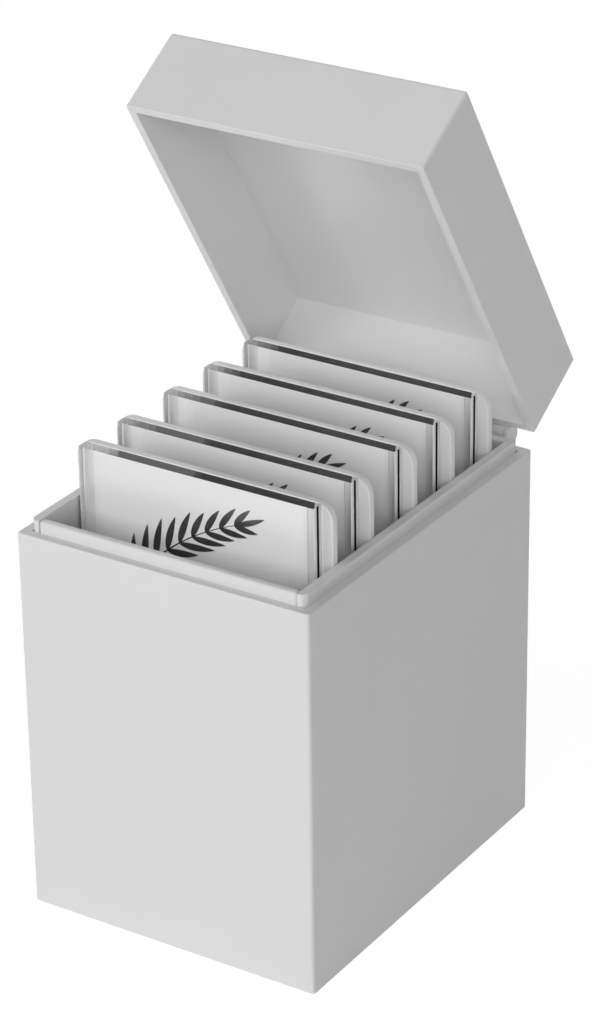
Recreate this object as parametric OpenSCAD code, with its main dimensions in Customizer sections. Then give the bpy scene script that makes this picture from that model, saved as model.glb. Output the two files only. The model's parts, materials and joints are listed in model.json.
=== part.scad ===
// False eyelash case: a hinged shoulder box of white acrylic sheet that files five lash tiles on edge.
// The lid stands open as it does in use. The origin is the centre of the underside, the front faces -Y.

/* [Case] */
// Width of the case, side to side
case_w = 100; // [85:0.5:130]
// Depth of the case, front to back
case_d = 125.5; // [115:0.5:170]
// Height of the body, from the table to its rim
body_h = 124.5; // [100:0.5:170]
// Thickness of the outer walls of the body
wall = 3; // [2.2:0.1:4.5]
// Thickness of the bottom plate
base_t = 3; // [2:0.1:6]
// Round along the upright outer corners of the body
corner_r = 1; // [0.3:0.1:1.8]
// Round along the rim of the body
rim_r = 0.4; // [0.1:0.1:0.9]

/* [Liner] */
// Thickness of the four liner panels
liner_t = 2.8; // [2:0.1:4]
// How far the liner stands above the rim
lip_h = 3.8; // [2:0.1:8]
// Polished round on the edges of the liner
lip_r = 0.9; // [0.2:0.05:0.95]
// Round on the upper corners of the liner panels
lip_corner_r = 1.4; // [0.4:0.1:2]

/* [Lid] */
// Height of the lid, outside
lid_h = 28.5; // [22:0.5:45]
// Thickness of the four walls of the lid
lid_wall = 2.7; // [1.8:0.1:4]
// Thickness of the top plate of the lid
lid_top_t = 2.7; // [1.8:0.1:4]
// Round along the outer edges of the lid
lid_r = 1; // [0.3:0.1:1.6]
// Gap between the closed lid and the rim
seat_gap = 0.2; // [0.1:0.05:0.5]
// Angle at which the lid stands open
open_angle = 58.2; // [0:0.1:110]

/* [Hinge] */
// Distance of the hinge axis behind the back of the case
hinge_off = 5; // [4.4:0.1:8]
// Height of the hinge axis above the rim
hinge_up = 0.6; // [0.4:0.1:2]
// Outer radius of the knuckles
knuckle_r = 3.2; // [2.4:0.1:3.8]
// Length of the barrel without the pin's heads
barrel_l = 78; // [50:1:80]
// Gap between neighbouring knuckles
knuckle_gap = 0.4; // [0.2:0.1:1]
// Radius of the hinge pin
pin_r = 1.2; // [0.8:0.1:1.6]
// Running clearance of the pin in the knuckles
pin_play = 0.05; // [0.02:0.01:0.1]
// Thickness of the two heads of the pin
pin_head_t = 1.6; // [1:0.1:3]
// Height of each hinge leaf
leaf_h = 12; // [8:0.5:20]
// Thickness of each hinge leaf
leaf_t = 2; // [1.2:0.1:2.4]

/* [Lash tiles] */
// Room between the closed lid and the top of a tile
head_room = 3.6; // [1:0.1:8]
// Room between a tile and the liner on each side
tile_gap = 0.4; // [0.2:0.1:1]
// Thickness of the back plate of a tile
back_t = 2.6; // [1.5:0.1:3.5]
// Round on the corners of the back plate
back_r = 5.5; // [1:0.5:12]
// Thickness of the clear cover of a tile
cover_t = 4; // [1.5:0.1:6]
// Thickness of the printed card behind the cover
card_t = 0.3; // [0.2:0.05:0.8]
// Margin of the card at the sides of the cover
card_side = 3.8; // [1:0.1:12]
// Margin of the card at the top and the foot of the cover
card_end = 1; // [0.5:0.1:12]

/* [Racks] */
// Thickness of the two slotted racks
rack_t = 3; // [2:0.1:4.5]
// Height of the racks
rack_h = 95; // [60:1:105]
// Room between the racks and the cover on each side
cover_gap = 0.8; // [0.3:0.1:2]
// Room for a back plate in its slot, in front and behind
slot_play = 1.6; // [0.4:0.1:2]
// Width of the slanted lead-in on each side of a slot
mouth_w = 1.5; // [0.5:0.1:2.5]
// Depth of the slanted lead-in of a slot
mouth_h = 4; // [1:0.5:10]
// From the front liner to the middle of the first slot
front_room = 17.4; // [14:0.1:24]
// From the middle of the last slot to the back liner
back_room = 8.7; // [6:0.1:14]

/* [Rests] */
// Width of the two strips that the tiles stand on
rest_w = 8; // [4:0.5:14]
// Height of the two strips that the tiles stand on
rest_h = 4; // [2:0.5:10]
// Distance of the strips from the racks
rest_in = 6; // [1:0.5:14]
// Gap under a tile at rest
rest_gap = 0.2; // [0.1:0.05:0.5]

/* [Hidden] */
$fn = 48;
far = 400;
tiles = 5;
knuckles = 5;
// Where each tile stands in the play of its slot, from -1 in front to 1 behind
sits = [0.5, -0.9, 0.3, 0, 0];

// The liner stands on the bottom plate, and the bay is what it holds
liner_h = body_h + lip_h - base_t;
bay_w = case_w - 2 * (wall + liner_t);
bay_d = case_d - 2 * (wall + liner_t);
slot_pitch = (bay_d - front_room - back_room) / (tiles - 1);
slot_w = back_t + 2 * slot_play;

// The lash tiles, which fill the bay from side to side
tile_w = bay_w - 2 * tile_gap;
tile_foot = base_t + rest_h + rest_gap;
tile_top = body_h + seat_gap + lid_h - lid_top_t - head_room;
tile_h = tile_top - tile_foot;
cover_w = bay_w - 2 * (rack_t + cover_gap);
card_w = cover_w - 2 * card_side;

// The hinge axis, and one knuckle's share of the barrel
axis_y = case_d / 2 + hinge_off;
axis_z = body_h + hinge_up;
knuckle_step = barrel_l / knuckles;
relief_r = knuckle_r + knuckle_gap;

// Middle of a slot, counted from 0 at the front
function slot_y(n) = -bay_d / 2 + front_room + n * slot_pitch;
// Front face of the back plate of a tile, counted from 1 at the front
function plate_y(n) = slot_y(n - 1) + sits[n - 1] * slot_play - back_t / 2;

// A rectangle with round corners, from the origin
module round_square(w, h, r) {
    translate([r, 0]) square([w - 2 * r, h]);
    translate([0, r]) square([w, h - 2 * r]);
    for (x = [r, w - r], y = [r, h - r]) translate([x, y]) circle(r);
}

// A block centred in X and Y on z = 0, with round upright corners and round top edges
module soft_block(w, d, h, side_r, top_r, top_end_r) {
    intersection() {
        translate([-w / 2, -d / 2, 0]) linear_extrude(h) round_square(w, d, side_r);
        translate([0, d / 2, 0]) rotate([90, 0, 0]) linear_extrude(d)
            translate([-w / 2, -h]) round_square(w, 2 * h, top_r);
        translate([-w / 2, 0, 0]) rotate([90, 0, 90]) linear_extrude(w)
            translate([-d / 2, -h]) round_square(d, 2 * h, top_end_r);
    }
}

// The whole outside of the body and of the closed lid, from which their panels are cut
module body_form() {
    soft_block(case_w, case_d, body_h, corner_r, rim_r, rim_r);
}

module lid_form() {
    translate([0, 0, body_h + seat_gap])
        soft_block(case_w, case_d, lid_h, corner_r, lid_r, lid_r);
}

// Turns what is drawn with the lid closed to where the open lid stands
module opened() {
    translate([0, axis_y, axis_z]) rotate([-open_angle, 0, 0])
        translate([0, -axis_y, -axis_z]) children();
}

// Front and back walls run the full width, and the side walls stand between them
module cross_wall(t, side) {
    translate([-case_w / 2, side < 0 ? -case_d / 2 : case_d / 2 - t, 0]) cube([case_w, t, far]);
}

module side_wall(t, side) {
    translate([side < 0 ? -case_w / 2 : case_w / 2 - t, -case_d / 2 + t, 0]) cube([t, case_d - 2 * t, far]);
}

module front_panel() {
    color("gainsboro") intersection() {
        body_form();
        cross_wall(wall, -1);
    }
}

module back_panel() {
    color("gainsboro") intersection() {
        body_form();
        cross_wall(wall, 1);
    }
}

module left_panel() {
    color("gainsboro") intersection() {
        body_form();
        side_wall(wall, -1);
    }
}

module right_panel() {
    color("gainsboro") intersection() {
        body_form();
        side_wall(wall, 1);
    }
}

module bottom_plate() {
    color("gainsboro") translate([-case_w / 2 + wall, -case_d / 2 + wall, 0])
        cube([case_w - 2 * wall, case_d - 2 * wall, base_t]);
}

// The sides of the liner run the full depth, and its front and back fit between them
module liner_cross(side) {
    translate([0, side * (bay_d + liner_t) / 2, base_t])
        soft_block(bay_w, liner_t, liner_h, lip_r, lip_corner_r, lip_r);
}

module liner_side(side) {
    translate([side * (bay_w + liner_t) / 2, 0, base_t])
        soft_block(liner_t, case_d - 2 * wall, liner_h, lip_r, lip_r, lip_corner_r);
}

module liner_front() {
    color("whitesmoke") liner_cross(-1);
}

module liner_back() {
    color("whitesmoke") liner_cross(1);
}

module liner_left() {
    color("whitesmoke") liner_side(-1);
}

module liner_right() {
    color("whitesmoke") liner_side(1);
}

// A rack is a comb: the edges of the back plates drop into its slots
module rack_outline() {
    difference() {
        translate([-bay_d / 2, base_t]) square([bay_d, rack_h]);
        for (n = [0 : tiles - 1]) translate([slot_y(n), base_t]) {
            translate([-slot_w / 2, rest_h / 2]) square([slot_w, rack_h]);
            polygon([[-slot_w / 2, rack_h - mouth_h], [-slot_w / 2 - mouth_w, rack_h],
                     [-slot_w / 2 - mouth_w, rack_h + 1], [slot_w / 2 + mouth_w, rack_h + 1],
                     [slot_w / 2 + mouth_w, rack_h], [slot_w / 2, rack_h - mouth_h]]);
        }
    }
}

module rack(side) {
    translate([side < 0 ? -bay_w / 2 : bay_w / 2 - rack_t, 0, 0])
        rotate([90, 0, 90]) linear_extrude(rack_t) rack_outline();
}

module left_rack() {
    color("white") rack(-1);
}

module right_rack() {
    color("white") rack(1);
}

// The strips on the floor that the tiles stand on
module rest(side) {
    translate([side * (bay_w / 2 - rack_t - rest_in - rest_w / 2) - rest_w / 2, -bay_d / 2, base_t])
        cube([rest_w, bay_d, rest_h]);
}

module left_rest() {
    color("white") rest(-1);
}

module right_rest() {
    color("white") rest(1);
}

module lid_top() {
    color("whitesmoke") opened() intersection() {
        lid_form();
        translate([-far / 2, -far / 2, body_h + seat_gap + lid_h - lid_top_t]) cube([far, far, far]);
    }
}

// What is left of the lid's form below the top plate
module lid_skirt() {
    intersection() {
        lid_form();
        translate([-far / 2, -far / 2, 0]) cube([far, far, body_h + seat_gap + lid_h - lid_top_t]);
    }
}

module lid_front() {
    color("gainsboro") opened() intersection() {
        lid_skirt();
        cross_wall(lid_wall, -1);
    }
}

module lid_back() {
    color("gainsboro") opened() intersection() {
        lid_skirt();
        cross_wall(lid_wall, 1);
    }
}

module lid_left() {
    color("gainsboro") opened() intersection() {
        lid_skirt();
        side_wall(lid_wall, -1);
    }
}

module lid_right() {
    color("gainsboro") opened() intersection() {
        lid_skirt();
        side_wall(lid_wall, 1);
    }
}

// A bar along X through the hinge axis, over a stretch of the barrel
module axis_bar(x, l, r) {
    translate([x, axis_y, axis_z]) rotate([0, 90, 0]) cylinder(h = l, r = r);
}

// One leaf with its knuckles: below the axis on the body, above it on the lid
module leaf(side, first) {
    leaf_z = side < 0 ? body_h - knuckle_gap - leaf_h : body_h + seat_gap + knuckle_gap;
    web_h = knuckle_r - knuckle_gap / 2;
    web_z = side < 0 ? axis_z - knuckle_r : axis_z + knuckle_gap / 2;
    difference() {
        union() {
            difference() {
                translate([-barrel_l / 2, case_d / 2, leaf_z]) cube([barrel_l, leaf_t, leaf_h]);
                for (n = [1 - first : 2 : knuckles - 1])
                    axis_bar(-barrel_l / 2 + n * knuckle_step - knuckle_gap / 2, knuckle_step + knuckle_gap, relief_r);
            }
            for (n = [first : 2 : knuckles - 1]) {
                x = -barrel_l / 2 + n * knuckle_step + knuckle_gap / 2;
                l = knuckle_step - knuckle_gap;
                axis_bar(x, l, knuckle_r);
                translate([x, case_d / 2, web_z]) cube([l, hinge_off, web_h]);
            }
        }
        axis_bar(-barrel_l / 2 - 1, barrel_l + 2, pin_r + pin_play);
    }
}

module hinge_body_leaf() {
    color("whitesmoke") leaf(-1, 0);
}

module hinge_lid_leaf() {
    color("whitesmoke") opened() leaf(1, 1);
}

// The pin runs through all the knuckles, with a flat head at each end
module hinge_pin() {
    color("whitesmoke") {
        axis_bar(-barrel_l / 2 - pin_head_t, barrel_l + 2 * pin_head_t, pin_r);
        for (x = [-barrel_l / 2 - pin_head_t, barrel_l / 2]) axis_bar(x, pin_head_t, knuckle_r);
    }
}

// A lash tile: a round-cornered back plate, a printed card on it and a clear cover over the card
module tile_back(n) {
    color("whitesmoke") translate([-tile_w / 2, plate_y(n) + back_t, tile_foot])
        rotate([90, 0, 0]) linear_extrude(back_t) round_square(tile_w, tile_h, back_r);
}

module tile_card(n) {
    color("white") translate([-card_w / 2, plate_y(n) - card_t, tile_foot + card_end])
        cube([card_w, card_t, tile_h - 2 * card_end]);
}

module tile_cover(n) {
    color("lightgray") translate([-cover_w / 2, plate_y(n) - card_t - cover_t, tile_foot])
        cube([cover_w, cover_t, tile_h]);
}

front_panel();
back_panel();
left_panel();
right_panel();
bottom_plate();
liner_front();
liner_back();
liner_left();
liner_right();
left_rack();
right_rack();
left_rest();
right_rest();
lid_top();
lid_front();
lid_back();
lid_left();
lid_right();
hinge_body_leaf();
hinge_lid_leaf();
hinge_pin();
tile_back(1);  // tile_1_back
tile_card(1);  // tile_1_card
tile_cover(1);  // tile_1_cover
tile_back(2);  // tile_2_back
tile_card(2);  // tile_2_card
tile_cover(2);  // tile_2_cover
tile_back(3);  // tile_3_back
tile_card(3);  // tile_3_card
tile_cover(3);  // tile_3_cover
tile_back(4);  // tile_4_back
tile_card(4);  // tile_4_card
tile_cover(4);  // tile_4_cover
tile_back(5);  // tile_5_back
tile_card(5);  // tile_5_card
tile_cover(5);  // tile_5_cover
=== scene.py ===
import json
import math
import random

import bmesh
import bpy
from mathutils import Matrix, Vector


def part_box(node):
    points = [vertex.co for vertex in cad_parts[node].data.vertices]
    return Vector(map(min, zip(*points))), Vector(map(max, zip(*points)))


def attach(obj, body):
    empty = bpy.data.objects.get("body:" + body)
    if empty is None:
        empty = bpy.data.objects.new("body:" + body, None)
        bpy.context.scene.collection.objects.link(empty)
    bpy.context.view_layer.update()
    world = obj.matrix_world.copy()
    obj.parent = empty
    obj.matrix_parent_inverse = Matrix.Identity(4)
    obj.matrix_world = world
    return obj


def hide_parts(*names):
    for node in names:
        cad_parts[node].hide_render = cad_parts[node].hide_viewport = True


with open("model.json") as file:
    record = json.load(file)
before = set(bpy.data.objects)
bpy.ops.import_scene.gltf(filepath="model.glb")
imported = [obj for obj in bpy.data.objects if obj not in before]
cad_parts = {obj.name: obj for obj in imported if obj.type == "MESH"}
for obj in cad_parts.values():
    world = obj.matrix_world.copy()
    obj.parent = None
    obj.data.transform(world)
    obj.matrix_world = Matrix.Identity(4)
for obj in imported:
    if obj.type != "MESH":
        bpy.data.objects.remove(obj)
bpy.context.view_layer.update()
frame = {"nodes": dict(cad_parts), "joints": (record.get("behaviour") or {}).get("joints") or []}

mm = 0.001
nodes = frame["nodes"]
tileCount = 5
acrylicIor = 1.49


# Materials
class Wire:
    # a shader socket that can be added, multiplied and so on
    def __init__(self, tree, socket=None):
        self.tree = tree
        self.socket = socket

    def node(self, kind, settings=None, inputs=None, out=0):
        made = self.tree.nodes.new(kind)
        for key, value in (settings or {}).items():
            if key == "stops":
                ramp = made.color_ramp
                while len(ramp.elements) < len(value):
                    ramp.elements.new(0.5)
                for stop, (place, colour) in zip(ramp.elements, value):
                    stop.position = place
                    stop.color = colour
            else:
                setattr(made, key, value)
        for key, value in (inputs or {}).items():
            if isinstance(value, Wire):
                self.tree.links.new(value.socket, made.inputs[key])
            elif value is not None:
                made.inputs[key].default_value = value
        return Wire(self.tree, made.outputs[out]) if len(made.outputs) else None

    def maths(self, operation, a, b=0.0):
        return self.node("ShaderNodeMath", {"operation": operation}, {0: a, 1: b})

    def __add__(self, other): return self.maths("ADD", self, other)
    def __radd__(self, other): return self.maths("ADD", other, self)
    def __sub__(self, other): return self.maths("SUBTRACT", self, other)
    def __rsub__(self, other): return self.maths("SUBTRACT", other, self)
    def __mul__(self, other): return self.maths("MULTIPLY", self, other)
    def __rmul__(self, other): return self.maths("MULTIPLY", other, self)

    def clamped(self, low, high):
        return self.node("ShaderNodeMapRange", {"clamp": True},
                         {0: self, 1: low, 2: high, 3: 0.0, 4: 1.0})


def newMaterial(name):
    material = bpy.data.materials.new(name)
    material.use_nodes = True
    material.node_tree.nodes.clear()
    return material, Wire(material.node_tree)


def showShader(sheet, shader):
    sheet.node("ShaderNodeOutputMaterial", {}, {"Surface": shader})


def grey(value):
    return (value, value, value, 1.0)


def placeOn(sheet, scale, turn=(0.0, 0.0, 0.0)):
    spot = sheet.node("ShaderNodeTexCoord", out="Object")
    return sheet.node("ShaderNodeMapping", {}, {"Vector": spot, "Rotation": turn, "Scale": scale})


def noiseOn(sheet, scale, size, detail=2.0, turn=(0.0, 0.0, 0.0)):
    return sheet.node("ShaderNodeTexNoise", {}, {
        "Vector": placeOn(sheet, scale, turn), "Scale": size, "Detail": detail, "Roughness": 0.5})


# White cast acrylic sheet: nearly even, with faint clouding, wipe marks and hairlines
def acrylic(name, look):
    material, sheet = newMaterial(name)
    cloud = noiseOn(sheet, (1, 1, 1), look["cloudScale"])
    wipe = noiseOn(sheet, look["wipeStretch"], look["wipeScale"], 3.0, look["wipeTurn"])
    hairs = [noiseOn(sheet, look["hairStretch"], look["hairScale"], 1.0, turn) for turn in look["hairTurns"]]
    hair = hairs[0].clamped(0.66, 0.7) + hairs[1].clamped(0.68, 0.72)
    cloudShare = look["cloudShare"]
    shade = cloud.clamped(0.3, 0.7) * cloudShare + wipe.clamped(0.35, 0.65) * (1 - cloudShare)
    colour = sheet.node("ShaderNodeMix", {"data_type": "RGBA"}, {
        "Factor": shade, 6: look["dark"], 7: look["light"]}, out=2)
    rough = look["rough"] + wipe.clamped(0.3, 0.75) * look["roughSpread"] + hair * look["hairRough"]
    bump = sheet.node("ShaderNodeBump", {}, {
        "Strength": look["bump"], "Distance": look["wearDepth"],
        "Height": wipe * look["wipeHeight"] - hair * look["hairHeight"]})
    showShader(sheet, sheet.node("ShaderNodeBsdfPrincipled", {}, {
        "Base Color": colour, "Roughness": rough, "Normal": bump, "IOR": acrylicIor,
        "Specular IOR Level": look["shine"]}))
    return material


# The sawn and flame-polished edges of the same sheet, with fine cross marks
def sawnEdge(name, look):
    material, sheet = newMaterial(name)
    cloud = noiseOn(sheet, (1, 1, 1), look["edgeCloudScale"])
    marks = noiseOn(sheet, (1, 1, 1), look["edgeMarkScale"], 1.0)
    colour = sheet.node("ShaderNodeMix", {"data_type": "RGBA"}, {
        "Factor": cloud.clamped(0.35, 0.65), 6: look["edgeDark"], 7: look["edgeLight"]}, out=2)
    bump = sheet.node("ShaderNodeBump", {}, {
        "Strength": look["edgeBump"], "Distance": look["edgeMarkDepth"], "Height": marks})
    showShader(sheet, sheet.node("ShaderNodeBsdfPrincipled", {}, {
        "Base Color": colour, "Roughness": look["edgeRough"] + marks * look["edgeMarkRough"], "Normal": bump,
        "IOR": acrylicIor, "Specular IOR Level": look["shine"]}))
    return material


# Clear acrylic: real refraction for the eye, straight through for the light that falls on the card
def clearAcrylic(name, look):
    material, sheet = newMaterial(name)
    smear = noiseOn(sheet, (1, 1, 0.3), look["smearScale"], 3.0, (0.0, 0.6, 0.0))
    grain = noiseOn(sheet, (1, 1, 1), look["grainScale"], 1.0)
    rough = look["rough"] + smear.clamped(0.45, 0.8) * look["smear"] + grain * look["grain"]
    glass = sheet.node("ShaderNodeBsdfPrincipled", {}, {
        "Base Color": look["tint"], "Roughness": rough, "IOR": acrylicIor, "Transmission Weight": 1.0})
    through = sheet.node("ShaderNodeBsdfTransparent", {}, {"Color": look["through"]})
    fromLamp = sheet.node("ShaderNodeLightPath", out="Is Shadow Ray")
    fromWall = sheet.node("ShaderNodeLightPath", out="Is Diffuse Ray")
    showShader(sheet, sheet.node("ShaderNodeMixShader", {}, {
        0: sheet.maths("MAXIMUM", fromLamp, fromWall), 1: glass, 2: through}))
    return material


# The sawn sides of a cover: satin, with painted light and shade across the thickness and a painted dark band
# standing for the shade seen inside the clear edge
def satinSide(name, look):
    material, sheet = newMaterial(name)
    depth = sheet.node("ShaderNodeAttribute", {"attribute_name": "depthShare"}, out="Fac")
    ragged = noiseOn(sheet, (1, 1, 0.5), look["raggedScale"])
    band = depth + (ragged - 0.5) * look["ragged"]
    # painted light and shade across the thickness of the side
    colour = sheet.node("ShaderNodeValToRGB", {"stops": look["stops"]}, {"Fac": band})
    # where the painted dark band lies, a painted shade
    (start, end), soft = look["paintedShadeBand"], look["paintedShadeSoft"]
    inPaintedShade = band.clamped(start, start + soft) - band.clamped(end, end + soft)
    marks = noiseOn(sheet, (1, 1, 1), look["markScale"], 1.0)
    bump = sheet.node("ShaderNodeBump", {}, {
        "Strength": look["markBump"], "Distance": look["markDepth"], "Height": marks})
    satin = sheet.node("ShaderNodeBsdfPrincipled", {}, {
        "Base Color": colour, "Roughness": look["rough"] + marks * look["markRough"], "Normal": bump,
        "IOR": acrylicIor, "Specular IOR Level": look["shine"]})
    paintedShadeBand = sheet.node("ShaderNodeBsdfPrincipled", {}, {
        "Base Color": look["paintedShadeColour"], "Roughness": look["paintedShadeRough"],
        "Specular IOR Level": look["paintedShadeShine"]})
    showShader(sheet, sheet.node("ShaderNodeMixShader", {}, {0: inPaintedShade, 1: satin, 2: paintedShadeBand}))
    return material


# Coated white card with a faint fibre
def cardPaper(name, look):
    material, sheet = newMaterial(name)
    fibre = noiseOn(sheet, (1, 1, 2.4), look["fibreScale"], 4.0)
    cloud = noiseOn(sheet, (1, 1, 1), look["cloudScale"])
    fibreShare = look["fibreShare"]
    colour = sheet.node("ShaderNodeMix", {"data_type": "RGBA"}, {
        "Factor": fibre.clamped(0.3, 0.7) * fibreShare + cloud.clamped(0.3, 0.7) * (1 - fibreShare),
        6: look["dark"], 7: look["light"]}, out=2)
    bump = sheet.node("ShaderNodeBump", {}, {
        "Strength": look["bump"], "Distance": look["fibreDepth"], "Height": fibre})
    showShader(sheet, sheet.node("ShaderNodeBsdfPrincipled", {}, {
        "Base Color": colour, "Roughness": look["rough"] + fibre * look["roughSpread"], "Normal": bump}))
    return material


# Black offset ink, a little uneven
def printInk(name, look):
    material, sheet = newMaterial(name)
    spread = noiseOn(sheet, (1, 1, 1), look["spreadScale"], 3.0)
    colour = sheet.node("ShaderNodeMix", {"data_type": "RGBA"}, {
        "Factor": spread.clamped(0.35, 0.8), 6: look["black"], 7: look["worn"]}, out=2)
    showShader(sheet, sheet.node("ShaderNodeBsdfPrincipled", {}, {
        "Base Color": colour, "Roughness": look["rough"] + spread * look["roughSpread"]}))
    return material


caseLook = {
    "light": grey(0.73), "dark": grey(0.71), "rough": 0.13, "roughSpread": 0.07, "shine": 0.45,
    "cloudScale": 14.0, "cloudShare": 0.6, "bump": 0.12, "wearDepth": 0.00002,
    "wipeScale": 30.0, "wipeStretch": (1, 1, 0.18), "wipeTurn": (0.3, 0.5, 0.1), "wipeHeight": 0.5,
    "hairScale": 160.0, "hairStretch": (1, 0.015, 0.4), "hairTurns": ((0.2, 0.1, 0.7), (0.9, 0.4, 2.1)),
    "hairRough": 0.012, "hairHeight": 0.06,
    "edgeLight": grey(0.735), "edgeDark": grey(0.71), "edgeRough": 0.2, "edgeBump": 0.15,
    "edgeCloudScale": 60.0, "edgeMarkScale": 1400.0, "edgeMarkDepth": 0.00003, "edgeMarkRough": 0.08,
}
# liner edges a little lighter than its faces: painted highlight along the lip
linerLook = dict(caseLook, light=grey(0.735), dark=grey(0.715), rough=0.1,
                 edgeLight=grey(0.76), edgeDark=grey(0.735))
# the lid is the case's acrylic, made lighter as painted light
lidLook = dict(caseLook, light=grey(0.785), dark=grey(0.765), rough=0.2,
               edgeLight=grey(0.79), edgeDark=grey(0.765))
# plate edges lighter than the plate faces: painted highlight along the rounded edges
plateLook = dict(caseLook, light=grey(0.81), dark=grey(0.79), rough=0.09,
                 edgeLight=grey(0.86), edgeDark=grey(0.82), edgeRough=0.14)
hingeLook = dict(caseLook, light=grey(0.76), dark=grey(0.73), rough=0.16, bump=0.2)
rackLook = dict(caseLook, light=grey(0.80), dark=grey(0.77), rough=0.14)
coverLook = {
    "tint": (0.985, 0.99, 0.985, 1.0), "through": grey(0.98),
    "rough": 0.0, "smear": 0.012, "smearScale": 90.0, "grain": 0.0, "grainScale": 1800.0,
}
coverEdgeLook = dict(coverLook, smear=0.02, grain=0.01)
coverSideLook = {
    "rough": 0.22, "shine": 0.3, "ragged": 0.05, "raggedScale": 420.0,
    "markScale": 1500.0, "markBump": 0.2, "markDepth": 0.00003, "markRough": 0.1,
    # from the front face, 0, to the back face, 1: a painted dark band in the middle as painted shade, lighter
    # at the front corner as a painted highlight and darker at the back as painted shade
    "paintedShadeBand": (0.31, 0.60), "paintedShadeSoft": 0.03, "paintedShadeColour": grey(0.006), "paintedShadeRough": 0.6, "paintedShadeShine": 0.02,
    "stops": ((0.0, grey(0.86)), (0.30, grey(0.84)), (0.62, grey(0.74)), (0.85, grey(0.78)), (1.0, grey(0.55))),
}
# the left sides get a thinner grey painted band, painted shade
coverLeftLook = dict(coverSideLook, paintedShadeBand=(0.44, 0.47), paintedShadeColour=grey(0.5))
cardLook = {
    "light": grey(0.87), "dark": grey(0.85), "rough": 0.4, "roughSpread": 0.1, "bump": 0.15,
    "fibreScale": 900.0, "fibreShare": 0.4, "fibreDepth": 0.00001, "cloudScale": 35.0,
}
inkLook = {"black": grey(0.006), "worn": grey(0.02), "rough": 0.35, "roughSpread": 0.1, "spreadScale": 700.0}

caseSheet = [acrylic("case_sheet", caseLook), sawnEdge("case_edge", caseLook)]
linerSheet = [acrylic("liner_sheet", linerLook), sawnEdge("liner_edge", linerLook)]
lidSheet = [acrylic("lid_sheet", lidLook), sawnEdge("lid_edge", lidLook)]
# the third plate material is darker: painted shade on the plates' left-facing edges
plateSheet = [acrylic("plate_sheet", plateLook), sawnEdge("plate_edge", plateLook),
              sawnEdge("plate_left_edge_painted_shade", dict(plateLook, edgeLight=grey(0.42), edgeDark=grey(0.36)))]
hingePlastic = [acrylic("hinge_plastic", hingeLook)]
rackSheet = [acrylic("rack_sheet", rackLook)]
coverClear = [clearAcrylic("cover_face", coverLook), clearAcrylic("cover_edge", coverEdgeLook),
              satinSide("cover_right_side", coverSideLook), satinSide("cover_left_side", coverLeftLook),
              plateSheet[1]]
cardStock = [cardPaper("card_stock", cardLook)]
blackInk = [printInk("black_ink", inkLook)]
print("materials made")


# Helpers that make pieces
def block(low, high):
    # a box between two corners
    bm = bmesh.new()
    size = high - low
    bmesh.ops.create_cube(bm, size=1.0)
    bmesh.ops.scale(bm, vec=size, verts=bm.verts)
    bmesh.ops.translate(bm, vec=(low + high) / 2, verts=bm.verts)
    return bm


def along(edge):
    way = edge.verts[1].co - edge.verts[0].co
    return way.normalized()


def middle(edge):
    return (edge.verts[0].co + edge.verts[1].co) / 2


def near(a, b):
    return abs(a - b) < 1e-6


def runs(way, axis):
    # whether an edge runs along x, y or z
    return abs(way["xyz".index(axis)]) > 0.9


def pickEdges(bm, test):
    return [edge for edge in bm.edges if test(middle(edge), along(edge))]


def roundEdges(bm, edges, radius, segments):
    bmesh.ops.bevel(bm, geom=edges, offset=radius, offset_type="OFFSET", affect="EDGES",
                    segments=segments, profile=0.5, material=-1, clamp_overlap=True)


# How far a face's normal has to point along an axis
onSheet, onTop, onSide = 0.6, 0.99, 0.3


def markCutFaces(bm, axis):
    # the second material goes on the faces that show the sheet's thickness
    bm.normal_update()
    for face in bm.faces:
        face.material_index = 0 if abs(face.normal[axis]) > onSheet else 1


def makePiece(bm, name, body, materials, replaced=(), sharp=35.0, weighted=True):
    bm.normal_update()
    for face in bm.faces:
        face.smooth = True
    for edge in bm.edges:
        if len(edge.link_faces) == 2:
            edge.smooth = edge.calc_face_angle(0.0) < math.radians(sharp)
    mesh = bpy.data.meshes.new(name)
    bm.to_mesh(mesh)
    bm.free()
    for material in materials:
        mesh.materials.append(material)
    piece = bpy.data.objects.new(name, mesh)
    bpy.context.scene.collection.objects.link(piece)
    if weighted:
        even = piece.modifiers.new("evenShading", "WEIGHTED_NORMAL")
        even.mode = "FACE_AREA"
        even.weight = 80
        even.keep_sharp = True
    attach(piece, body)
    if replaced:
        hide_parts(*replaced)
    return piece


def dressNode(name, materials):
    # a CAD node that stays gets the procedural material
    held = nodes[name].data.materials
    held.clear()
    held.append(materials[0])


# Outer walls of the body: cross panels between rounded corners, side panels between them
wallShape = {"corner": 1.0, "cornerSteps": 6, "rim": 0.4, "rimSteps": 3, "joint": 0.04}


def crossPanel(name, side):
    low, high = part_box(name)
    outer = low.y if side < 0 else high.y
    inner = high.y if side < 0 else low.y
    bm = block(low, high)
    roundEdges(bm, pickEdges(bm, lambda m, d: runs(d, "z") and near(m.y, outer)),
               wallShape["corner"] * mm, wallShape["cornerSteps"])
    roundEdges(bm, pickEdges(bm, lambda m, d: near(m.z, high.z) and not near(m.y, inner)),
               wallShape["rim"] * mm, wallShape["rimSteps"])
    roundEdges(bm, pickEdges(bm, lambda m, d: near(m.y, inner)), wallShape["joint"] * mm, 1)
    markCutFaces(bm, 1)
    makePiece(bm, name.replace("panel", "wall"), "case", caseSheet, [name])


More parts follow.
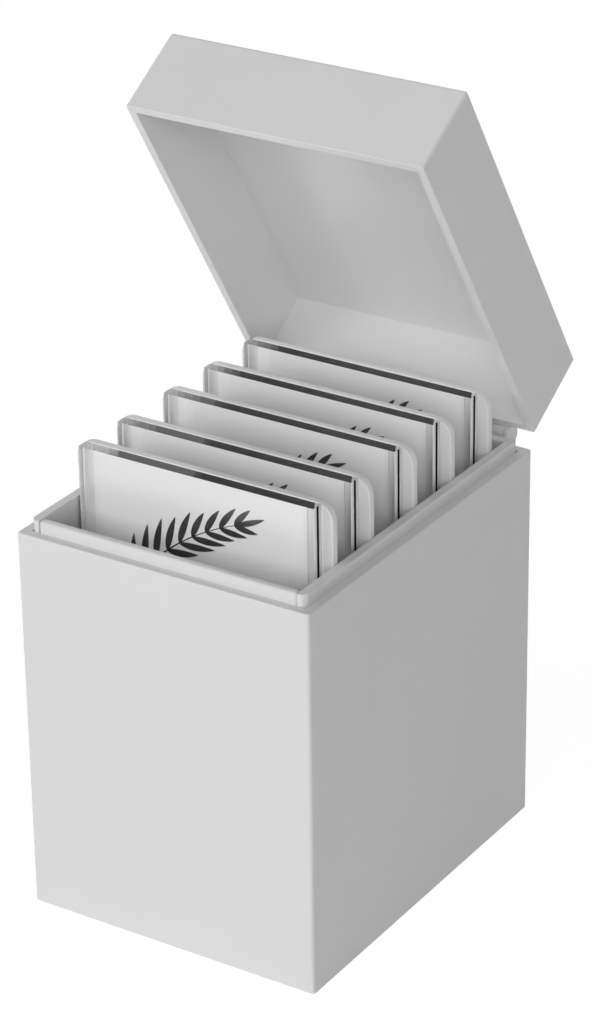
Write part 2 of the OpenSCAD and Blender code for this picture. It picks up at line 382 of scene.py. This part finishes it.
def sidePanel(name, side):
    low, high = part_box(name)
    outer = low.x if side < 0 else high.x
    bm = block(low, high)
    roundEdges(bm, pickEdges(bm, lambda m, d: near(m.z, high.z) and near(m.x, outer)),
               wallShape["rim"] * mm, wallShape["rimSteps"])
    inner = pickEdges(bm, lambda m, d: runs(d, "z") or (near(m.z, high.z) and not near(m.x, outer)))
    roundEdges(bm, inner, wallShape["joint"] * mm, 1)
    markCutFaces(bm, 0)
    makePiece(bm, name.replace("panel", "wall"), "case", caseSheet, [name])


crossPanel("front_panel", -1)
crossPanel("back_panel", 1)
sidePanel("left_panel", -1)
sidePanel("right_panel", 1)
dressNode("bottom_plate", caseSheet)
print("outer walls made")


# Liner sheets with a bull-nosed lip, and the racks and rests inside
linerShape = {
    "round": 0.9, "roundSteps": 5,
    "endRound": 2.2, "endRoundInner": 0.5,    # upright ends of the side sheets
    "crossEnd": 0.9, "endGap": 0.12,          # and of the front and back sheets, between them
}


def linerPanel(name, axis, shape):
    low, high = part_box(name)
    steps = shape["roundSteps"]
    if axis == 1:
        gap = Vector((shape["endGap"] * mm, 0, 0))
        low, high = low + gap, high - gap
        bm = block(low, high)
        roundEdges(bm, pickEdges(bm, lambda m, d: runs(d, "z")), shape["crossEnd"] * mm, steps)
    else:
        bm = block(low, high)
        centre = abs(low.x + high.x) / 2
        outerEnds = pickEdges(bm, lambda m, d: runs(d, "z") and abs(m.x) > centre)
        roundEdges(bm, outerEnds, shape["endRound"] * mm, steps)
        innerEnds = pickEdges(bm, lambda m, d: runs(d, "z") and abs(m.x) <= centre)
        roundEdges(bm, innerEnds, shape["endRoundInner"] * mm, steps)
    roundEdges(bm, pickEdges(bm, lambda m, d: near(m.z, high.z)), shape["round"] * mm, steps)
    markCutFaces(bm, axis)
    makePiece(bm, name + "_sheet", "case", linerSheet, [name], sharp=50.0)


for name, axis in (("liner_front", 1), ("liner_back", 1), ("liner_left", 0), ("liner_right", 0)):
    linerPanel(name, axis, linerShape)
for name in ("left_rack", "right_rack", "left_rest", "right_rest"):
    dressNode(name, rackSheet)
print("liner made")


# Lid, built closed and turned to its rest angle
hinge = next(joint for joint in frame["joints"] if joint["name"] == "lid_hinge")
axisPoint = Vector(hinge["pos_m"])
openAngle = -hinge["range_deg"][0]
lidShape = {
    "width": 100.0, "depth": 125.5, "foot": 124.7, "height": 28.5, "wall": 2.7, "top": 2.7,
    "corner": 1.0, "cornerSteps": 6, "rimEdge": 0.25, "rimSteps": 2,
}
lidTurn = (Matrix.Translation(axisPoint) @ Matrix.Rotation(math.radians(-openAngle), 4, "X")
           @ Matrix.Translation(-axisPoint))


def lidPiece(bm, name, axis, replaced):
    markCutFaces(bm, axis)
    bmesh.ops.transform(bm, matrix=lidTurn, verts=bm.verts)
    makePiece(bm, name, "lid", lidSheet, [replaced])


def makeLid(shape):
    halfW, halfD, wall = shape["width"] / 2 * mm, shape["depth"] / 2 * mm, shape["wall"] * mm
    foot = shape["foot"] * mm
    ceiling = foot + (shape["height"] - shape["top"]) * mm
    crown = foot + shape["height"] * mm
    corner, steps = shape["corner"] * mm, shape["cornerSteps"]
    rimEdge, rimSteps = shape["rimEdge"] * mm, shape["rimSteps"]

    for side, name in ((-1, "lid_front"), (1, "lid_back")):
        outer, inner = side * halfD, side * (halfD - wall)
        bm = block(Vector((-halfW, min(outer, inner), foot)), Vector((halfW, max(outer, inner), ceiling)))
        roundEdges(bm, pickEdges(bm, lambda m, d: runs(d, "z") and near(m.y, outer)), corner, steps)
        roundEdges(bm, pickEdges(bm, lambda m, d: near(m.z, foot) and not near(m.y, inner)), rimEdge, rimSteps)
        lidPiece(bm, name + "_wall", 1, name)

    for side, name in ((-1, "lid_left"), (1, "lid_right")):
        outer, inner = side * halfW, side * (halfW - wall)
        bm = block(Vector((min(outer, inner), wall - halfD, foot)),
                   Vector((max(outer, inner), halfD - wall, ceiling)))
        roundEdges(bm, pickEdges(bm, lambda m, d: near(m.z, foot) and near(m.x, outer)), rimEdge, rimSteps)
        lidPiece(bm, name + "_wall", 0, name)

    bm = block(Vector((-halfW, -halfD, ceiling)), Vector((halfW, halfD, crown)))
    roundEdges(bm, pickEdges(bm, lambda m, d: runs(d, "z")), corner, steps)
    roundEdges(bm, pickEdges(bm, lambda m, d: near(m.z, crown)), corner, steps)
    lidPiece(bm, "lid_top_plate", 2, "lid_top")


makeLid(lidShape)
print("lid made")


# Barrel hinge: two leaves with interleaved knuckles on one pin
hingeShape = {
    "barrel": 78.0, "knuckles": 5, "gap": 0.4, "radius": 3.2, "bore": 1.25, "pin": 1.2, "head": 1.6,
    "leafHeight": 12.0, "leafThick": 2.0, "bodyTop": 124.1, "lidFoot": 125.1, "back": 62.75,
    "scoop": 0.9, "soft": 0.25, "turns": 48, "webIn": 0.1, "webReach": 1.4, "webBite": 0.02, "headEdge": 0.5,
}


def addTo(bm, other):
    # puts a second shape into the first
    held = bpy.data.meshes.new("held")
    other.to_mesh(held)
    other.free()
    bm.from_mesh(held)
    bpy.data.meshes.remove(held)


def spunRing(bm, start, end, shape):
    # a bush round the hinge axis, spun from its section
    inner, outer = shape["bore"] * mm, shape["radius"] * mm
    corners = [bm.verts.new(axisPoint + Vector((x, 0, r)))
               for x, r in ((start, inner), (end, inner), (end, outer), (start, outer))]
    for i in range(4):
        bm.edges.new((corners[i], corners[(i + 1) % 4]))
    bmesh.ops.bevel(bm, geom=corners[2:], offset=shape["soft"] * mm, offset_type="OFFSET",
                    affect="VERTICES", segments=3, profile=0.5, material=-1)
    loop = {edge for edge in bm.edges if not edge.link_faces and edge.is_valid}
    points = {vert for edge in loop for vert in edge.verts}
    bmesh.ops.spin(bm, geom=list(points) + list(loop), cent=axisPoint, axis=(1, 0, 0),
                   angle=2 * math.pi, steps=shape["turns"], use_merge=True)


def hingeLeaf(shape, name, side, first, body, replaced, turn=None):
    bm = bmesh.new()
    step = shape["barrel"] / shape["knuckles"]
    back, thick = shape["back"] * mm, shape["leafThick"] * mm
    if side < 0:
        low, high = shape["bodyTop"] - shape["leafHeight"], shape["bodyTop"]
    else:
        low, high = shape["lidFoot"], shape["lidFoot"] + shape["leafHeight"]
    half = shape["barrel"] / 2 * mm
    plate = block(Vector((-half, back, low * mm)), Vector((half, back + thick, high * mm)))
    meets = high * mm if side < 0 else low * mm
    roundEdges(plate, pickEdges(plate, lambda m, d: near(m.z, meets) and near(m.y, back + thick)),
               shape["scoop"] * mm, 3)
    roundEdges(plate, pickEdges(plate, lambda m, d: near(m.y, back + thick) and not near(m.z, meets)),
               shape["soft"] * mm, 2)
    radius, gap, bite = shape["radius"] * mm, shape["gap"] * mm, shape["webBite"] * mm
    for index in range(first, shape["knuckles"], 2):
        start = (-shape["barrel"] / 2 + index * step + shape["gap"] / 2) * mm
        end = start + (step - shape["gap"]) * mm
        spunRing(bm, start, end, shape)
        web = block(Vector((start + shape["webIn"] * mm, back, axisPoint.z - radius + bite)),
                    Vector((end - shape["webIn"] * mm, axisPoint.y - shape["webReach"] * mm,
                            axisPoint.z - gap / 2)))
        if side > 0:
            bmesh.ops.translate(web, vec=(0, 0, radius + gap / 2 - bite), verts=web.verts)
        addTo(bm, web)
    addTo(bm, plate)
    bmesh.ops.recalc_face_normals(bm, faces=bm.faces)
    if turn:
        bmesh.ops.transform(bm, matrix=turn, verts=bm.verts)
    makePiece(bm, name, body, hingePlastic, [replaced])


def hingePin(shape):
    bm = bmesh.new()
    half = shape["barrel"] / 2 * mm
    head, headRadius = shape["head"] * mm, shape["radius"] * mm
    for start, end, radius in ((-half, half, shape["pin"] * mm),
                               (-half - head, -half, headRadius), (half, half + head, headRadius)):
        made = bmesh.ops.create_cone(bm, cap_ends=True, cap_tris=False, segments=shape["turns"],
                                     radius1=radius, radius2=radius, depth=end - start)
        bmesh.ops.rotate(bm, matrix=Matrix.Rotation(math.pi / 2, 3, "Y"), verts=made["verts"])
        bmesh.ops.translate(bm, vec=axisPoint + Vector(((start + end) / 2, 0, 0)), verts=made["verts"])
    ends = pickEdges(bm, lambda m, d: not runs(d, "x") and near(abs(m.x), half + head))
    roundEdges(bm, ends, shape["headEdge"] * mm, 3)
    makePiece(bm, "hinge_rod", "case", hingePlastic, ["hinge_pin"])


hingeLeaf(hingeShape, "hinge_lower", -1, 0, "case", "hinge_body_leaf")
hingeLeaf(hingeShape, "hinge_upper", 1, 1, "lid", "hinge_lid_leaf", lidTurn)
hingePin(hingeShape)
print("hinge made")


# Lash tiles: white back plate, clear cover, card between
tileShape = {
    "corner": 5.5, "cornerSteps": 14, "edge": 0.35, "edgeSteps": 3,
    "coverEdge": 0.16, "coverEdgeSteps": 2, "coverCorner": 0.45, "cornerReach": 0.6, "airGap": 0.1,
    "frontFacing": 0.95,
    "satinDrop": 40.0,    # how far down the left side of the cover is satin
    "paintedHighlightEnd": 2.05,    # the slanted end of the top edge, given the opaque white plate edge as painted light
}


def tileBack(index, shape):
    node = f"tile_{index}_back"
    low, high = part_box(node)
    bm = block(low, high)
    roundEdges(bm, pickEdges(bm, lambda m, d: runs(d, "y")), shape["corner"] * mm, shape["cornerSteps"])
    roundEdges(bm, pickEdges(bm, lambda m, d: not runs(d, "y")), shape["edge"] * mm, shape["edgeSteps"])
    markCutFaces(bm, 1)
    for face in bm.faces:
        # left-facing edges of the plate get the darker edge material, painted shade
        if face.normal.x < -onSide and abs(face.normal.y) < shape["frontFacing"]:
            face.material_index = 2
    makePiece(bm, f"tile_{index}_plate", f"tile_{index}", plateSheet, [node])


def tileCover(index, shape):
    node = f"tile_{index}_cover"
    low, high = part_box(node)
    back = high.y - shape["airGap"] * mm
    bm = block(low, Vector((high.x, back, high.z)))
    roundEdges(bm, pickEdges(bm, lambda m, d: runs(d, "z") and near(m.y, low.y)),
               shape["coverCorner"] * mm, 3)
    frontReach = low.y + shape["cornerReach"] * mm
    roundEdges(bm, pickEdges(bm, lambda m, d: not (runs(d, "z") and m.y < frontReach)),
               shape["coverEdge"] * mm, shape["coverEdgeSteps"])
    satinFoot = high.z - shape["satinDrop"] * mm
    bmesh.ops.bisect_plane(bm, geom=bm.verts[:] + bm.edges[:] + bm.faces[:],
                           plane_co=(0, 0, satinFoot), plane_no=(0, 0, 1))
    top = [face for face in bm.faces if face.normal.z > onTop]
    cut = Vector((-shape["paintedHighlightEnd"] * mm, back - low.y, 0))
    slant = Vector((cut.y, -cut.x, 0))
    topEdges = list({edge for face in top for edge in face.edges})
    topVerts = list({vert for face in top for vert in face.verts})
    bmesh.ops.bisect_plane(bm, geom=topVerts + topEdges + top, plane_co=(high.x, low.y, high.z),
                           plane_no=slant)
    markCutFaces(bm, 1)
    depth = bm.verts.layers.float.new("depthShare")
    for vert in bm.verts:
        vert[depth] = (vert.co.y - low.y) / (back - low.y)
    for face in bm.faces:
        spot = face.calc_center_median()
        if face.normal.x > onSide:
            face.material_index = 2
        elif face.normal.x < -onSide:
            face.material_index = 3 if spot.z > satinFoot else 1
        # the slanted end of the top face gets the white plate edge: painted light where the dark top strip ends
        elif face.normal.z > onTop and (spot - Vector((high.x, low.y, 0))).dot(slant) > 0:
            face.material_index = 4
    makePiece(bm, f"tile_{index}_clear", f"tile_{index}", coverClear, [node])


for index in range(1, tileCount + 1):
    tileBack(index, tileShape)
    tileCover(index, tileShape)
    dressNode(f"tile_{index}_card", cardStock)
print("tiles made")


# Printed sprig on the cards
sprig = {
    "stem": ((-30.0, 98.0), (-14.0, 124.0), (13.0, 134.0)),    # foot, bend and tip, in x and z
    "stemWidth": 0.8, "leaves": 9, "leafLength": 14.5, "leafWidth": 2.5, "leafAngle": 48.0,
    "steps": 14, "stemSteps": 40, "proud": 0.01, "seed": 5,
    "firstLeaf": 0.2, "leafSpan": 0.78, "bend": 0.12, "point": 0.00003, "tipLength": 0.7, "tipWidth": 0.35,
}


def ribbon(bm, pointAt, widthAt, steps):
    # a flat tapered stroke: a grid whose rows are moved on to a curve in x and z
    made = bmesh.ops.create_grid(bm, x_segments=steps, y_segments=2, size=1.0)
    for vert in made["verts"]:
        share, side = (vert.co.x + 1) / 2, vert.co.y
        here = pointAt(share)
        way = (pointAt(min(share + 0.01, 1.0)) - pointAt(max(share - 0.01, 0.0))).normalized()
        across = Vector((-way.z, 0, way.x))
        vert.co = here + across * side * widthAt(share)


def leafPath(foot, angle, length, bend):
    way = Vector((math.cos(angle), 0, math.sin(angle)))
    across = Vector((-way.z, 0, way.x))
    return lambda t: foot + way * length * t + across * length * bend * t * t


def leafSwell(t):
    # from a leaf's foot to its tip: widest before the middle
    return math.sin(math.pi * t ** 0.75) ** 0.8


def printSprig(index, shape):
    chance = random.Random(shape["seed"])
    low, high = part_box(f"tile_{index}_card")
    foot, bend, tip = (Vector((x * mm, 0, z * mm)) for x, z in shape["stem"])

    def stem(t):
        return foot * (1 - t) ** 2 + bend * 2 * t * (1 - t) + tip * t * t

    bm = bmesh.new()
    ribbon(bm, stem, lambda t: shape["stemWidth"] / 2 * mm * (1 - 0.75 * t), shape["stemSteps"])
    for count in range(shape["leaves"]):
        share = shape["firstLeaf"] + shape["leafSpan"] * count / (shape["leaves"] - 1)
        at = stem(share)
        way = stem(min(share + 0.01, 1.0)) - stem(share - 0.01)
        course = math.atan2(way.z, way.x)
        length = shape["leafLength"] * mm * (1.05 - 0.45 * share)
        for side in (-1, 1):
            lean = math.radians(shape["leafAngle"] * (1.0 - 0.3 * share)) * side
            size = length * chance.uniform(0.9, 1.1)
            path = leafPath(at, course + lean, size, -shape["bend"] * side)
            width = shape["leafWidth"] / 2 * mm * (1.05 - 0.3 * share)
            ribbon(bm, path, lambda t: width * leafSwell(t) + shape["point"], shape["steps"])
    ahead = tip - bend
    path = leafPath(tip, math.atan2(ahead.z, ahead.x), shape["leafLength"] * shape["tipLength"] * mm, 0.05)
    width = shape["leafWidth"] * shape["tipWidth"] * mm
    ribbon(bm, path, lambda t: width * leafSwell(t) + shape["point"], shape["steps"])
    bmesh.ops.translate(bm, vec=(0, low.y - shape["proud"] * mm, 0), verts=bm.verts)
    bm.normal_update()
    bmesh.ops.reverse_faces(bm, faces=[face for face in bm.faces if face.normal.y > 0])
    for face in bm.faces:
        face.smooth = False
    makePiece(bm, f"tile_{index}_print", f"tile_{index}", blackInk, weighted=False)


for index in range(1, tileCount + 1):
    printSprig(index, sprig)
print("print made")


# Floor, light and camera
studio = {
    "floorColour": grey(0.9), "floorRough": 0.6, "floorShown": 0.88, "floorGlow": 1.075, "floorSize": 8.0,
    "skyLight": 0.09, "lampReach": 2.6, "lampSize": 1.4, "aim": (0.0, 0.0, 0.12),
    # compass bearing from the front towards the right, height angle, power
    "lamps": {"key": (-40, 18, 23.5), "front": (0, 20, 8.0), "fill": (40, 20, 23.5),
              "high": (0, 52, 7.2), "behind": (-150, 14, 14.0)},
}


def seenDirectly(sheet):
    # 1 for what the camera, a mirror or glass sees, 0 for the light that falls on the object
    seen = None
    for ray in ("Is Camera Ray", "Is Glossy Ray", "Is Transmission Ray"):
        path = sheet.node("ShaderNodeLightPath", out=ray)
        seen = path if seen is None else sheet.maths("MAXIMUM", seen, path)
    return seen


def makeFloor(shape):
    material, sheet = newMaterial("studio_floor")
    grain = noiseOn(sheet, (1, 1, 1), 6.0)
    colour = sheet.node("ShaderNodeMix", {"data_type": "RGBA"}, {
        "Factor": grain, 6: shape["floorColour"], 7: grey(0.92)}, out=2)
    plain = sheet.node("ShaderNodeBsdfPrincipled", {}, {
        "Base Color": colour, "Roughness": shape["floorRough"], "Specular IOR Level": 0.2})
    white = sheet.node("ShaderNodeEmission", {}, {
        "Color": grey(1.0), "Strength": shape["floorGlow"]})
    showShader(sheet, sheet.node("ShaderNodeMixShader", {}, {
        0: seenDirectly(sheet) * shape["floorShown"], 1: plain, 2: white}))
    bm = bmesh.new()
    bmesh.ops.create_grid(bm, x_segments=1, y_segments=1, size=shape["floorSize"])
    bmesh.ops.translate(bm, vec=(0, 0, -0.00005), verts=bm.verts)
    mesh = bpy.data.meshes.new("floor")
    bm.to_mesh(mesh)
    bm.free()
    mesh.materials.append(material)
    floor = bpy.data.objects.new("floor", mesh)
    bpy.context.scene.collection.objects.link(floor)


def makeSky(shape):
    world = bpy.data.worlds.new("studio")
    bpy.context.scene.world = world
    world.use_nodes = True
    world.node_tree.nodes.clear()
    sheet = Wire(world.node_tree)
    level = shape["skyLight"] + seenDirectly(sheet) * (1.0 - shape["skyLight"])
    glow = sheet.node("ShaderNodeBackground", {}, {"Color": grey(1.0), "Strength": level})
    sheet.node("ShaderNodeOutputWorld", {}, {"Surface": glow})


def makeLamps(shape):
    aim = Vector(shape["aim"])
    for name, (bearing, height, power) in shape["lamps"].items():
        lamp = bpy.data.lights.new(name + "_lamp", "AREA")
        lamp.shape = "SQUARE"
        lamp.size = shape["lampSize"]
        lamp.energy = power
        turn, rise = math.radians(bearing), math.radians(height)
        out = Vector((math.sin(turn) * math.cos(rise), -math.cos(turn) * math.cos(rise), math.sin(rise)))
        holder = bpy.data.objects.new(name + "_lamp", lamp)
        holder.location = aim + out * shape["lampReach"]
        holder.rotation_euler = (-out).to_track_quat("-Z", "Y").to_euler()
        holder.visible_glossy = False    # the gloss mirrors the white room, not the lamps as hard bars
        bpy.context.scene.collection.objects.link(holder)


def makeCamera(shot):
    ca, sa = math.cos(shot["azimuth"]), math.sin(shot["azimuth"])
    ce, se = math.cos(shot["elevation"]), math.sin(shot["elevation"])
    ahead = Vector((-sa * ce, ca * ce, -se))
    right = Vector((ca, sa, 0))
    down = ahead.cross(right)
    cr, sr = math.cos(shot["roll"]), math.sin(shot["roll"])
    rolledRight = right * cr - down * sr
    rolledDown = right * sr + down * cr
    lens = bpy.data.cameras.new("camera")
    lens.sensor_width = 36.0
    lens.lens = shot["lens"]
    lens.clip_start, lens.clip_end = 0.01, 50.0
    camera = bpy.data.objects.new("camera", lens)
    turned = Matrix((rolledRight, -rolledDown, -ahead)).transposed().to_4x4()
    camera.matrix_world = Matrix.Translation(Vector(shot["place"])) @ turned
    bpy.context.scene.collection.objects.link(camera)
    bpy.context.scene.camera = camera


makeFloor(studio)
makeSky(studio)
makeLamps(studio)
makeCamera({"azimuth": 0.5752958, "elevation": 0.4559633, "roll": -0.0153272, "lens": 129.39,
            "place": (0.53628, -0.81829, 0.59696)})
scene = bpy.context.scene
scene.view_settings.view_transform = "Standard"
scene.cycles.max_bounces = 40
scene.cycles.transmission_bounces = 36
scene.cycles.transparent_max_bounces = 24
print("stage made")
